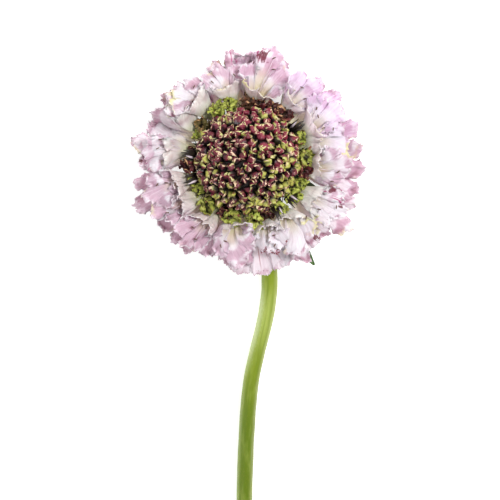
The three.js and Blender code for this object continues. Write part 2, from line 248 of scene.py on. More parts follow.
def mottled(tree, vector, scale, detail=2.0):
    """Cloudy noise from 0 to 1 over a vector."""
    node = tree.nodes.new("ShaderNodeTexNoise")
    node.inputs["Scale"].default_value = scale
    node.inputs["Detail"].default_value = detail
    tree.links.new(vector, node.inputs["Vector"])
    return node.outputs["Fac"]


def rising(tree, value, low, high, top=1.0):
    """0 below low, top above high, and a smooth rise between."""
    node = tree.nodes.new("ShaderNodeMapRange")
    node.interpolation_type = "SMOOTHSTEP"
    node.inputs["From Min"].default_value = low
    node.inputs["From Max"].default_value = high
    node.inputs["To Max"].default_value = top
    tree.links.new(value, node.inputs["Value"])
    return node.outputs["Result"]


def worked(tree, operation, a, b):
    """One sum or product of two values, either of which may be a number."""
    node = tree.nodes.new("ShaderNodeMath")
    node.operation = operation
    for socket, value in zip(node.inputs, (a, b)):
        if isinstance(value, (int, float)):
            socket.default_value = value
        else:
            tree.links.new(value, socket)
    return node.outputs[0]


def blended(tree, factor, under, over):
    """One colour over another. Each is a colour or the output of another node."""
    node = tree.nodes.new("ShaderNodeMix")
    node.data_type = "RGBA"
    tree.links.new(factor, node.inputs[0])
    for socket, colour in ((node.inputs[6], under), (node.inputs[7], over)):
        if isinstance(colour, tuple):
            socket.default_value = colour
        else:
            tree.links.new(colour, socket)
    return node.outputs[2]


def parted(tree, vector):
    """The X, Y and Z of a vector."""
    node = tree.nodes.new("ShaderNodeSeparateXYZ")
    tree.links.new(vector, node.inputs[0])
    return node.outputs


def paint(tree, shader, colour):
    tree.links.new(colour, shader.inputs["Base Color"])


def bump(tree, shader, height, strength, distance):
    """Small relief in the way that light falls on the surface. distance is in metres."""
    node = tree.nodes.new("ShaderNodeBump")
    node.inputs["Strength"].default_value = strength
    node.inputs["Distance"].default_value = distance
    tree.links.new(height, node.inputs["Height"])
    tree.links.new(node.outputs["Normal"], shader.inputs["Normal"])


stem_skin, tree, shader = start_material("stem_skin", 0.42)
straight = read(tree, "unbent", "Vector")
streaks = mottled(tree, scaled(tree, straight, (1, 1, 0.05)), 1.3)
patches = mottled(tree, scaled(tree, straight, (0.9, 0.9, 0.16)), 0.6, 4)
grain = mottled(tree, scaled(tree, straight, (1, 1, 0.35)), 3.2)
stem_place = parted(tree, straight)
along_stem, flank = stem_place["Z"], stem_place["X"]
# yellow green by the head, a pale stretch, then deeper green; places are in millimetres along the stem
colour = blended(tree, rising(tree, along_stem, 42, 54), linear(126, 144, 30), linear(160, 175, 82))
colour = blended(tree, rising(tree, along_stem, 56, 72), colour, linear(124, 142, 30))
colour = blended(tree, rising(tree, along_stem, 70, 94), colour, linear(94, 116, 12))
colour = blended(tree, rising(tree, streaks, 0.46, 0.66, 0.4), colour, linear(92, 114, 8))
colour = blended(tree, rising(tree, patches, 0.48, 0.72, 0.3), colour, linear(172, 184, 92))
colour = blended(tree, rising(tree, grain, 0.52, 0.75, 0.35), colour, linear(136, 136, 40))
# painted light: both flanks of the stem are painted lighter than its middle, one flank more than the other
colour = blended(tree, rising(tree, flank, -0.8, -2.3, 0.4), colour, linear(168, 186, 96))
colour = blended(tree, rising(tree, flank, 1.2, 2.4, 0.3), colour, linear(166, 170, 96))
# painted highlight: a whitish patch on one flank, partway down the stem
painted_highlight = worked(tree, "MULTIPLY", rising(tree, along_stem, 44, 52), rising(tree, along_stem, 78, 62))
painted_highlight = worked(tree, "MULTIPLY", painted_highlight, rising(tree, worked(tree, "ADD", flank, grain), 0.2, -1.7, 0.75))
colour = blended(tree, painted_highlight, colour, linear(202, 214, 158))
paint(tree, shader, colour)
shader.inputs["Subsurface Weight"].default_value = 0.12
shader.inputs["Subsurface Radius"].default_value = (0.5, 1.0, 0.2)
shader.inputs["Subsurface Scale"].default_value = 0.0012
shader.inputs["Specular IOR Level"].default_value = 0.35
shader.inputs["Sheen Weight"].default_value = 0.1  # the stem's fine down
shader.inputs["Sheen Roughness"].default_value = 0.35
shader.inputs["Sheen Tint"].default_value = linear(226, 232, 190)
bump(tree, shader, worked(tree, "ADD", streaks, worked(tree, "MULTIPLY", grain, 0.5)), 0.3, 0.0003)

stem_wall, tree, shader = start_material("stem_wall", 0.55)
spots = mottled(tree, read(tree, "unbent", "Vector"), 6.0)
paint(tree, shader, blended(tree, spots, linear(196, 208, 150), linear(165, 184, 104)))

stem_pith, tree, shader = start_material("stem_pith", 0.8)
cells = mottled(tree, read(tree, "unbent", "Vector"), 9.0)
paint(tree, shader, blended(tree, cells, linear(226, 230, 196), linear(190, 196, 140)))
bump(tree, shader, cells, 0.6, 0.0002)

stand_for("stem", stem_bm, Matrix.Identity(4), [stem_skin, stem_wall, stem_pith])


# ---- Cup of bracts ----
# A shallow green cup behind the florets, with ten narrow leaves that are folded along their midribs. One
# is much longer than the rest, and its tip shows past the petals.
BRACTS = [  # the azimuth of each leaf in degrees, and how far it reaches
    (10, 22), (50, 20.5), (88, 19.5), (128, 20), (166, 22.5),
    (200, 23), (236, 22), (270, 21.5), (303, 36.5), (338, 23),
]
BRACT_ROOT = (7.5, -6.3)  # like the profile, as distance from the head's axis and height
CUP_PROFILE = [(0, -9.0), (2.9, -9.0), (5.2, -8.0), (9.0, -7.0), (10.2, -6.2), (10.2, -5.3), (0, -5.3)]


def on_head(azimuth, out, side, z):
    """The point at an outward and a sideways distance from the head's axis, at one azimuth."""
    c, s = math.cos(azimuth), math.sin(azimuth)
    return Vector((out * c - side * s, out * s + side * c, z))


def bent_grid(bm, columns, rows, surface, traits, fringe=1.0):
    """Adds a grid laid over a surface of (across, along), with a value of each trait kept on every point.
    Past the fringe, which is a share of the rows, the columns are four times as many."""
    sheet = bmesh.new()
    layers = []
    for name, trait in traits.items():
        is_vector = isinstance(trait(0, 0), tuple)
        kinds = sheet.verts.layers.float_vector if is_vector else sheet.verts.layers.float
        layers.append(kinds.new(name))
    bmesh.ops.create_grid(sheet, x_segments=columns, y_segments=rows, size=1)
    outer = [edge for edge in sheet.edges if min(vert.co.y for vert in edge.verts) > 2 * fringe - 1]
    level = [edge for edge in outer if abs(edge.verts[0].co.y - edge.verts[1].co.y) < 0.5 / rows]
    bmesh.ops.subdivide_edges(sheet, edges=level, cuts=3, use_single_edge=True)
    for vert in sheet.verts:
        across, along = vert.co.x, 1 - (1 - (vert.co.y + 1) / 2) ** 1.35  # closer rows near the far edge
        vert.co = surface(across, along)
        for layer, trait in zip(layers, traits.values()):
            vert[layer] = trait(across, along)
    bmesh.ops.reverse_faces(sheet, faces=sheet.faces)
    bm.from_mesh(as_mesh("sheet", sheet))


def bract_surface(k):
    """The surface of one leaf, which falls away, folds along its midrib and ripples towards its tip."""
    degrees, reach = BRACTS[k]
    azimuth = math.radians(degrees)
    half_width = 1.7 + 0.4 * draw(k, 41)

    def surface(u, v):
        along = (reach - BRACT_ROOT[0]) * v
        width = half_width * max(0.0, math.sin(math.pi * (0.2 + 0.8 * v))) ** 0.55
        fall = 0.0085 * along**2 + 0.05 * along
        fold = 0.35 * width * (u * u + 0.04) ** 0.5
        ripple = 0.25 * v * noise.noise(Vector((u * 1.5, v * 6, k)))
        return on_head(azimuth, BRACT_ROOT[0] + along, width * u, BRACT_ROOT[1] - fall + fold + ripple)

    return surface


def spun(profile, steps):
    """A closed solid turned from a profile of (radius, height)."""
    bm = bmesh.new()
    corners = [bm.verts.new((radius, 0, z)) for radius, z in profile]
    geom = corners + [bm.edges.new(pair) for pair in zip(corners, corners[1:])]
    bmesh.ops.spin(
        bm, geom=geom, axis=(0, 0, 1), cent=(0, 0, 0), angle=2 * math.pi, steps=steps, use_merge=True
    )
    bmesh.ops.remove_doubles(bm, verts=bm.verts, dist=0.001)
    bmesh.ops.recalc_face_normals(bm, faces=bm.faces)
    return bm


involucre_bm = spun(CUP_PROFILE, 60)
bract_bm = bmesh.new()
for k in range(len(BRACTS)):
    bent_grid(bract_bm, 8, 26, bract_surface(k), {"across": lambda u, v: u, "share": lambda u, v: v})
bmesh.ops.solidify(bract_bm, geom=bract_bm.faces, thickness=0.35)
involucre_bm.from_mesh(as_mesh("bracts", bract_bm))


def place_on_piece(tree):
    return tree.nodes.new("ShaderNodeTexCoord").outputs["Object"]


bract_skin, tree, shader = start_material("bract_skin", 0.5)
place = place_on_piece(tree)
middle = rising(tree, worked(tree, "ABSOLUTE", read(tree, "across"), 0), 0.22, 0.02, 0.8)
colour = blended(tree, mottled(tree, place, 420), linear(44, 76, 36), linear(78, 110, 52))
colour = blended(tree, middle, colour, linear(116, 142, 78))
paint(tree, shader, colour)
bump(tree, shader, mottled(tree, place, 1500), 0.4, 0.0003)
stand_for("involucre", involucre_bm, HEAD, [bract_skin])


# ---- Lower ray florets ----
# Fifteen three-lobed fans in the lower whorl. Each grows on the receptacle by a narrow claw, laps over
# its neighbour, droops outwards and is ruffled and finely toothed at its edge. Petal tissue is thin and
# a little translucent: pale yellow green at its root, finely veined, and bruised magenta here and there.
LOWER_ROOT = (12.6, -4.0)
LOWER_FAN = math.radians(27)
LOWER_FLORETS = [  # the azimuth of each in degrees, anticlockwise from +X, and how far it reaches
    (-5, 35.6), (20, 32.8), (40, 33.6), (79, 33.6), (101, 35), (124, 28.8), (149, 33.2), (172, 34.4),
    (200, 34.8), (218, 33.6), (236, 31.8), (255, 32.2), (274, 33.0), (300, 35.0), (324, 35.4),
]
WHOLE_FLORET = 274  # the azimuth of the one whose edge is hardly cut into lobes
PETAL_THICKNESS = 0.16
LYING_HEIGHT = 0.0002  # in metres: where a petal meets the table it lies flat


def petal_tissue(name, lilac, white, base):
    """One side of the petals of one whorl, with the colour of its root."""
    material, tree, shader = start_material(name, 0.55)
    place = place_on_piece(tree)
    share, along_vein = read(tree, "share"), read(tree, "along_vein", "Vector")
    pale, orchid = read(tree, "pale"), read(tree, "orchid")
    clouds = worked(tree, "ADD", mottled(tree, place, 170, 3), worked(tree, "MULTIPLY", pale, 0.3))
    # painted light: points that stand above the smoothed petal are painted whiter
    clouds = worked(tree, "ADD", clouds, worked(tree, "MULTIPLY", read(tree, "crest"), 0.9))
    colour = blended(tree, rising(tree, clouds, 0.42, 0.78), lilac, white)
    colour = blended(tree, worked(tree, "MULTIPLY", orchid, rising(tree, share, 0.4, 0.9, 0.6)), colour,
                     linear(222, 178, 230))
    # fine veins that run from the root to the edge
    fine = mottled(tree, scaled(tree, along_vein, (34, 2.2, 1)), 1.0)
    coarse = mottled(tree, scaled(tree, along_vein, (13, 1.2, 1)), 1.0)
    colour = blended(tree, rising(tree, fine, 0.52, 0.68, 0.25), colour, linear(176, 142, 160))
    colour = blended(tree, rising(tree, coarse, 0.56, 0.7, 0.2), colour, linear(186, 150, 162))
    colour = blended(tree, rising(tree, fine, 0.44, 0.32, 0.22), colour, linear(244, 236, 242))
    # painted shade: hollows below the smoothed petal are painted dark mauve
    painted_crevice_shade = rising(tree, read(tree, "crest"), -0.08, -0.6, 0.75)
    colour = blended(tree, painted_crevice_shade, colour, linear(148, 106, 122))
    # pale frilled edges with small dark dots, then magenta streaks and dark red stains
    frill = worked(tree, "ADD", share, worked(tree, "MULTIPLY", mottled(tree, place, 800), 0.16))
    colour = blended(tree, rising(tree, frill, 1.01, 1.1, 0.6), colour, linear(240, 224, 234))
    colour = blended(tree, worked(tree, "MULTIPLY", read(tree, "lip"), 0.45), colour, linear(232, 220, 208))
    dots = rising(tree, mottled(tree, place, 1300), 0.66, 0.7)
    dots = worked(tree, "MULTIPLY", dots, rising(tree, share, 0.86, 0.95, 0.6))
    colour = blended(tree, dots, colour, linear(120, 62, 78))
    spots = worked(tree, "MULTIPLY", rising(tree, coarse, 0.52, 0.6), rising(tree, fine, 0.42, 0.56))
    streaks = worked(tree, "MULTIPLY", spots, rising(tree, share, 0.66, 0.92, 0.9))
    bruises = rising(tree, worked(tree, "ADD", read(tree, "bruised"), streaks), 0.9, 1.3, 0.85)
    colour = blended(tree, bruises, colour, linear(172, 60, 118))
    stains = worked(tree, "MULTIPLY", worked(tree, "ADD", mottled(tree, place, 520, 4), fine), 1.1)
    stains = worked(tree, "ADD", worked(tree, "MULTIPLY", read(tree, "stained"), 0.82), stains)
    colour = blended(tree, rising(tree, stains, 1.62, 1.8, 0.9), colour, linear(98, 20, 40))
    # one floret has a dark red lip, over a floret with clear red-brown veins, a few to each lobe
    red_lip = worked(tree, "ADD", share, worked(tree, "MULTIPLY", mottled(tree, place, 1200), 0.5))
    red_lip = worked(tree, "MULTIPLY", rising(tree, red_lip, 1.2, 1.26), read(tree, "dotted"))
    colour = blended(tree, red_lip, colour, linear(116, 24, 42))
    across = parted(tree, along_vein)["X"]
    from_vein = worked(tree, "PINGPONG", worked(tree, "MULTIPLY", across, 4.5), 0.5)
    lines = worked(tree, "MULTIPLY", rising(tree, from_vein, 0.09, 0.02, 0.7), rising(tree, share, 0.98, 0.7))
    colour = blended(tree, worked(tree, "MULTIPLY", lines, read(tree, "veined")), colour, linear(150, 62, 74))
    # pale yellow edges in patches, and a yellow green root
    yellowed = rising(tree, mottled(tree, scaled(tree, place, (1, 1, -1)), 160, 3), 0.57, 0.68)
    yellow = worked(tree, "MULTIPLY", yellowed, rising(tree, share, 0.9, 0.98, 0.5))
    colour = blended(tree, yellow, colour, linear(222, 212, 146))
    near_yellow = read(tree, "yellowed")
    yellow = worked(tree, "ADD", near_yellow, worked(tree, "MULTIPLY", mottled(tree, place, 500), 0.8))
    yellow = worked(tree, "MULTIPLY", rising(tree, yellow, 0.95, 1.1), rising(tree, share, 0.88, 0.98, 0.75))
    colour = blended(tree, yellow, colour, linear(222, 212, 140))
    colour = blended(tree, rising(tree, share, 0.68, 0.3, 0.7), colour, base)
    colour = blended(tree, rising(tree, share, 0.36, 0.16, 0.8), colour, linear(186, 186, 128))
    paint(tree, shader, colour)
    shader.inputs["Subsurface Weight"].default_value = 0.6
    shader.inputs["Subsurface Radius"].default_value = (1.0, 0.85, 0.85)
    shader.inputs["Subsurface Scale"].default_value = 0.0008
    shader.inputs["Specular IOR Level"].default_value = 0.3
    pleats = worked(tree, "ADD", fine, worked(tree, "MULTIPLY", coarse, 2.0))
    bump(tree, shader, worked(tree, "ADD", pleats, mottled(tree, place, 900)), 0.42, 0.0004)
    return material


SAME_FLORET = math.cos(math.radians(13))  # azimuths nearer than this belong to one floret
MARKS = {  # places on the head, as x, y and how far the mark spreads
    "stained": [
        (4.2, 30.3, 3.0), (1.6, 28.8, 1.5), (20.4, -22.2, 1.9),
        (24.1, -8.5, 2.0), (-31.4, 0, 1.4), (27, -13.4, 1.2),
    ],
    "bruised": [
        (-6.3, 30.9, 3.2), (5.0, 29.5, 3.5), (25.5, -1.2, 3.4), (24.0, -10.0, 3.6), (-30.6, -1.5, 2.0),
    ],
    "yellowed": [
        (-20.3, 17.8, 4.0), (29.9, 3.2, 3.6), (18.8, -18.7, 4.2), (6.0, 23.5, 3.0), (-1.0, 21.6, 2.6),
    ],
}
# Painted light and shade: the sides of the head are painted paler or darker as the light falls on them;
# towards -45 the petals are also whiter florets
SIDE_LIGHT_AND_TONE = [  # azimuths in degrees, and how much paler or, below 0, darker the petals are towards each
    (-45, 0.5), (-5, -0.6), (45, 0.2), (90, -1.0), (-135, -1.8), (-180, -0.4),
]


def floret_traits(azimuth, k, trait, width):
    """What one floret's tissue looks like: how pale it is, partly painted light and shade by its side of the
    head, how orchid pink it is, how far a point is along it, where its frilled lip, dark lip and clear
    veins are, and its own map of across, along and number."""
    pale = 0.5 + spread(k, trait, 0.8)
    for degrees, paler in SIDE_LIGHT_AND_TONE:
        pale += paler * max(0.0, math.cos(azimuth - math.radians(degrees))) ** 5
    orchid = max(0.0, math.cos(azimuth - math.radians(42))) ** 7 * (0.6 + 0.4 * draw(k, trait))
    near_veined = math.cos(azimuth - math.radians(WHOLE_FLORET)) > SAME_FLORET
    pale += 0.9 if near_veined and width == 1 else 0
    return {
        "share": lambda u, v: v,
        "pale": lambda u, v: pale,
        "orchid": lambda u, v: orchid,
        "lip": lambda u, v: min(1.0, max(0.0, 6 * abs(u) - 3.9)) if width > 1 else 0.0,
        "dotted": lambda u, v: 1.0 if near_veined and width > 1 and abs(u) < 0.32 else 0.0,
        "veined": lambda u, v: 1.0 if near_veined and width == 1 else 0.0,
        "along_vein": lambda u, v: (width * u, v, 3.7 * k + trait),
    }


def mark_places(bm):
    """Keeps on each point of a petal, for each kind of mark, how near the point is to one, from 0 to 1."""
    for name, places in MARKS.items():
        layer = bm.verts.layers.float.new(name)
        for vert in bm.verts:
            steps = [math.hypot(vert.co.x - x, vert.co.y - y) / reach for x, y, reach in places]
            vert[layer] = math.exp(-min(steps) ** 2)


def lobe_of(turn, lobes):
    """The lobe that a place along an edge belongs to, and where the place is in it, from -1 to 1."""
    for j, lobe in enumerate(lobes):
        if abs(turn - lobe[0]) <= lobe[1]:
            return j, (turn - lobe[0]) / lobe[1]
    return len(lobes) - 1, 1.0


TOOTH_WIDTH = 0.46
TOOTHED_FROM = 0.75  # how far out along a petal its teeth start, as a share of its length


def teeth(place, run, share):
    """How far the fine irregular teeth of an edge stand out. run is how far along the edge the place is."""
    near_edge = max(0.0, (share - TOOTHED_FROM) / (1 - TOOTHED_FROM))
    torn = max(0.0, noise.noise(place * 0.3 + Vector((0, 0, 9))) - 0.16)
    uneven = noise.noise(place * 0.7)
    cut = abs(uneven) + 0.6 * abs(noise.noise(place * 2.1 + Vector((7, 0, 0))))
    tooth = abs(math.sin(math.pi * (run / TOOTH_WIDTH + 2.5 * uneven)))
    return near_edge * (cut + 0.3 * tooth - 0.45 - 2.4 * torn)


noise.seed_set(2)  # noise_vector, unlike noise, differs from run to run without a seed


def crisped(place, share):
    """How a petal folds, and how its edge crimps. place is the point's own place in the petal, in mm."""
    folds = 2.2 * share**1.2 * noise.noise(place * 0.33) * Vector((0, 0, 1))
    crimps = 1.1 * share**5 * noise.noise_vector(place * 0.62 + Vector((0, 0, 31)))
    return folds + crimps + 0.45 * share**12 * noise.noise_vector(place * 1.9 + Vector((0, 0, 57)))


def crispness(azimuth):
    """The florets on one side are smoother than the rest."""
    return 1 - 0.45 * max(0.0, math.cos(azimuth - math.radians(45))) ** 6


def turned(point, hub, pitch, yaw, roll):
    """A point of one floret, which is tipped, swung and rolled a little round its own hub."""
    turn = Matrix.Rotation(yaw, 3, "Z") @ Matrix.Rotation(pitch, 3, "Y") @ Matrix.Rotation(roll, 3, "X")
    return hub + turn @ (point - hub)


def mark_crests(bm):
    """Keeps on each point of a petal how far it stands above the smoothed petal, in millimetres."""
    smoothed = bm.copy()
    for _ in range(14):
        bmesh.ops.smooth_vert(
            smoothed, verts=smoothed.verts, factor=0.5, use_axis_x=True, use_axis_y=True, use_axis_z=True
        )
    crest = bm.verts.layers.float.new("crest")
    for vert, low in zip(bm.verts, smoothed.verts):
        vert[crest] = vert.co.z - low.co.z
    smoothed.free()


def thicken(piece, thickness):
    """Gives a sheet its thickness, with its second material on the back."""
    solidify = piece.modifiers.new("thickness", "SOLIDIFY")
    solidify.thickness = thickness / 1000
    solidify.offset = 0
    solidify.material_offset = 1
    return piece


LOWER_LOBES = [(-2 / 3, 1 / 3), (0, 1 / 3), (2 / 3, 1 / 3)]  # the middle and half width of each lobe
LOBE_BULGE = 0.3  # how far a lobe's sides swell over its neighbours, as a part of its half width


def lower_surface(k):
    """The surface of one fan, with its three cupped lobes, its waves, its droop and its teeth."""
    azimuth = math.radians(LOWER_FLORETS[k][0])
    hub = Vector((LOWER_ROOT[0], 0, LOWER_ROOT[1]))
    length = LOWER_FLORETS[k][1] - LOWER_ROOT[0]
    twist = 0.2 + spread(k, 2, 0.08)
    droop = 3.4 + 1.2 * draw(k, 3)
    cups = [0.5 + spread(k, 51 + j, 2.4) for j in range(3)]
    pitch, yaw = spread(k, 55, 0.16), spread(k, 56, 0.22)
    cut, crisp = (0.25, 0.4) if LOWER_FLORETS[k][0] == WHOLE_FLORET else (1.0, crispness(azimuth))

    def surface(u, v):
        j, across = lobe_of(u, LOWER_LOBES)
        rounded = math.cos(across * math.pi / 2) ** 0.7
        swell = v * v * math.sin(math.pi * across)
        full = 0.98 + 0.04 * math.copysign(1, cups[j]) * rounded
        edge = full - cut * (0.34 * (1 - rounded) + 0.2 * u * u)
        fan = LOWER_FAN * (u + LOWER_LOBES[j][1] * LOBE_BULGE * swell)
        reach = length * edge * v + 0.5 + teeth(Vector((16 * u, 0, 17 * k)), 16 * u, v)
        out = LOWER_ROOT[0] + reach * math.cos(fan)
        side = (reach + 1.5) * math.sin(fan)
        wave = 1.0 * v**1.6 * math.sin(2 * math.pi * (1.25 * u + draw(k, 4)))
        along = 1.2 * math.sin(math.pi * v) - droop * v * v
        z = LOWER_ROOT[1] + along + wave + cups[j] * rounded * v * v + 0.5 * swell + twist * side
        place = Vector((reach * math.cos(fan), reach * math.sin(fan), 17 * k))
        point = turned(Vector((out, side, z)), hub, pitch, yaw, 0) + crisp * crisped(place, v)
        return on_head(azimuth, *point)

    return surface


lower_bm = bmesh.new()
for k, (degrees, _) in enumerate(LOWER_FLORETS):
    bent_grid(lower_bm, 76, 15, lower_surface(k), floret_traits(math.radians(degrees), k, 5, 1), 0.68)
mark_crests(lower_bm)
mark_places(lower_bm)
lower_face = petal_tissue(
    "lower_petal_face", lilac=linear(190, 154, 172), white=linear(223, 208, 217), base=linear(214, 202, 168)
)
lower_back = petal_tissue(
    "lower_petal_back", lilac=linear(168, 134, 152), white=linear(200, 178, 190), base=linear(182, 176, 142)
)
lower_piece = stand_for("ray_florets_lower", lower_bm, HEAD, [lower_face, lower_back])
for vert in lower_piece.data.vertices:
    vert.co.z = max(vert.co.z, LYING_HEIGHT)
thicken(lower_piece, PETAL_THICKNESS)


# ---- Upper ray florets ----
# Sixteen funnels in the upper whorl. Each narrow tube opens into a funnel that leans outwards, with a
# short frilled lip of two lobes towards the dome and three large lobes away from it.
UPPER_COUNT = 16
UPPER_ROOT = (13.2, -1.9)
FUNNEL = {"throat": 18.4, "z": 0.3, "radius": 0.9, "lean": 5.8, "lip_rise": 4.2, "lip_reach": 0.35}
# the middle and half width of each lobe in degrees from the outward side, its length and its notches
LOBES = [
    (0, 31, 6.8, (0.34, 0.34)),
    (62, 31, 6.0, (0.385, 0.385)),
    (136.5, 43.5, 5.2, (0.445, 0.6)),
]
THROAT_SHARE = 0.22  # where on the limb's lobes the throat is
TUBE_PART = 0.25
SHORT_SIDE = {"azimuth": math.radians(272), "by": 4.4}  # the florets over the stem lean out less


def upper_azimuth(k):
    return 2 * math.pi * (k + 0.5 + spread(k, 11, 0.6)) / UPPER_COUNT


def upper_limb(k):
    """The open part of one floret: a point of it for an angle round its throat and a share of its length."""
    azimuth = upper_azimuth(k)
    size = 1 + spread(k, 12, 0.36)
    twist = 0.24 + spread(k, 13, 0.08)
    lift = 1.8 + 1.2 * draw(k, 14)
    lean = FUNNEL["lean"] + spread(k, 61, 3.4)
    lean -= SHORT_SIDE["by"] * max(0.0, math.cos(azimuth - SHORT_SIDE["azimuth"])) ** 16
    lip_rise = FUNNEL["lip_rise"] + spread(k, 62, 2.4)
    lip_reach = FUNNEL["lip_reach"] + spread(k, 66, 0.5)
    pitch, yaw, roll = spread(k, 63, 0.4), spread(k, 64, 0.9), spread(k, 65, 0.7)
    hub = Vector((FUNNEL["throat"], 0, FUNNEL["z"]))

    def limb(angle, share):
        opening = (share - THROAT_SHARE) / (1 - THROAT_SHARE)
        hand = math.copysign(1, angle)
        j, across = lobe_of(abs(math.degrees(angle)), LOBES)
        length, notch = LOBES[j][2], LOBES[j][3][0 if across < 0 else 1]
        petal = int(hand) * j  # tells the two sides apart
        rounded = math.cos(across * math.pi / 2) ** 0.7
        swell = share**2 * math.sin(math.pi * across)
        turn = angle + hand * math.radians(LOBES[j][1]) * LOBE_BULGE * swell
        outward = math.cos(turn)
        behind = (1 - outward) / 2
        lip = behind * behind * (3 - 2 * behind)  # 1 on the side towards the dome, 0 away from it
        own_length = 1 + spread(k, 70 + petal, 0.36)
        on_edge = Vector((10 * math.cos(angle), 10 * math.sin(angle), 19 * k + 5))
        reach = length * (notch + (own_length - notch) * rounded) * size * share**0.9 + FUNNEL["radius"]
        reach += teeth(on_edge, 8 * angle, share)
        out = FUNNEL["throat"] + lean * opening + reach * outward * (1 if outward > 0 else lip_reach)
        side = reach * math.sin(turn)
        rise = (1 - lip) * lift * math.sin(2.4 * opening) + lip * lip_rise * opening**0.8
        cup = (0.5 + spread(k, 80 + petal, 2.6)) * rounded * share**2
        waves = 0.7 * share**1.5 * math.sin(5 * angle + 2 * math.pi * draw(k, 15))
        waves *= 0.65 + 0.35 * outward
        z = FUNNEL["z"] + rise + waves + cup + 0.5 * swell * hand + twist * side
        point = turned(Vector((out, side, z)), hub, pitch * opening, yaw * opening, roll * opening)
        point += crispness(azimuth) * crisped(Vector((out, side, 19 * k)), share)
        return on_head(azimuth, *point)

    return limb


def mouth_of(limb):
    """The middle of the throat, where the tube opens."""
    return sum((limb(turn, THROAT_SHARE) for turn in (0, math.pi / 2, math.pi, -math.pi / 2)), Vector()) / 4


def upper_surface(k):
    """The tube takes the first part of the way along the floret, and the limb the rest."""
    limb = upper_limb(k)
    root = on_head(2 * math.pi * (k + 0.5) / UPPER_COUNT, UPPER_ROOT[0], 0, UPPER_ROOT[1])
    mouth = mouth_of(limb)

    def surface(u, v):
        angle = math.pi * u
        if v >= TUBE_PART:
            return limb(angle, THROAT_SHARE + (1 - THROAT_SHARE) * (v - TUBE_PART) / (1 - TUBE_PART))
        s = v / TUBE_PART
        flare = 0.2 + 0.8 * s**2
        return root.lerp(mouth, s) + (limb(angle, THROAT_SHARE) - mouth) * flare

    return surface


upper_bm = bmesh.new()
for k in range(UPPER_COUNT):
    bent_grid(upper_bm, 84, 14, upper_surface(k), floret_traits(upper_azimuth(k), k, 16, 2.5), 0.68)
bmesh.ops.remove_doubles(upper_bm, verts=upper_bm.verts, dist=0.0005)
mark_crests(upper_bm)
mark_places(upper_bm)
upper_face = petal_tissue(
    "upper_petal_face", lilac=linear(194, 164, 180), white=linear(227, 216, 224), base=linear(218, 206, 176)
)
upper_back = petal_tissue(
    "upper_petal_back", lilac=linear(194, 174, 180), white=linear(226, 217, 216), base=linear(190, 188, 148)
)
upper_piece = stand_for("ray_florets_upper", upper_bm, HEAD, [upper_face, upper_back])
thicken(upper_piece, PETAL_THICKNESS)


# ---- Stamens ----
# Two stamens stand out of each upper floret's throat, and are rooted in it: a thin pale filament with a
# dark purple anther set across its tip.
STAMEN = {"count": 2, "filament": 0.1, "anther": (0.21, 0.62, 0.21)}


def skin_faces(bm, first, material_index):
    """Gives a material to the first face of a number and all after it."""
    bm.faces.ensure_lookup_table()
    for face in bm.faces[first:]:
        face.material_index = material_index


def add_between(bm, start, end, radius, tip_radius, material_index):
    """Adds a thin round rod from one point to another, thinner at its tip if it is drawn so."""
    way = end - start
    lie = Vector((0, 0, 1)).rotation_difference(way.normalized()).to_matrix().to_4x4()
    matrix = Matrix.Translation((start + end) / 2) @ lie
    first = len(bm.faces)
    bmesh.ops.create_cone(
        bm, cap_ends=True, cap_tris=True, segments=6, radius1=radius, radius2=tip_radius,
        depth=way.length, matrix=matrix,
    )
    skin_faces(bm, first, material_index)


stamen_bm = bmesh.new()
for k in range(UPPER_COUNT):
    limb = upper_limb(k)
    mouth = mouth_of(limb)
    for i in range(STAMEN["count"]):
        angle = spread(10 * k + i, 91, 2.4)
        tip = limb(angle, 0.55 + 0.3 * draw(10 * k + i, 92)) + Vector((0, 0, 0.9 + draw(10 * k + i, 93)))
        elbow = mouth.lerp(tip, 0.5) + Vector((0, 0, 0.8))
        add_between(stamen_bm, mouth, elbow, STAMEN["filament"], STAMEN["filament"], 0)
        add_between(stamen_bm, elbow, tip, STAMEN["filament"], STAMEN["filament"] * 0.7, 0)
        first = len(stamen_bm.faces)
        across = Matrix.Rotation(2 * math.pi * draw(10 * k + i, 94), 4, "Z")
        matrix = Matrix.Translation(tip) @ (across @ Matrix.Diagonal((*STAMEN["anther"], 1)))
        bmesh.ops.create_icosphere(stamen_bm, subdivisions=2, radius=1, matrix=matrix)
        skin_faces(stamen_bm, first, 1)

filament, tree, shader = start_material("filament", 0.5)
place = place_on_piece(tree)
colour = blended(tree, mottled(tree, place, 900), linear(226, 214, 218), linear(196, 176, 190))
paint(tree, shader, colour)
anther, tree, shader = start_material("anther", 0.7)
place = place_on_piece(tree)
grains = mottled(tree, place, 2200)
paint(tree, shader, blended(tree, grains, linear(52, 28, 46), linear(132, 104, 84)))
bump(tree, shader, grains, 0.5, 0.0001)


new_piece("stamens", stamen_bm, HEAD, [filament, anther])


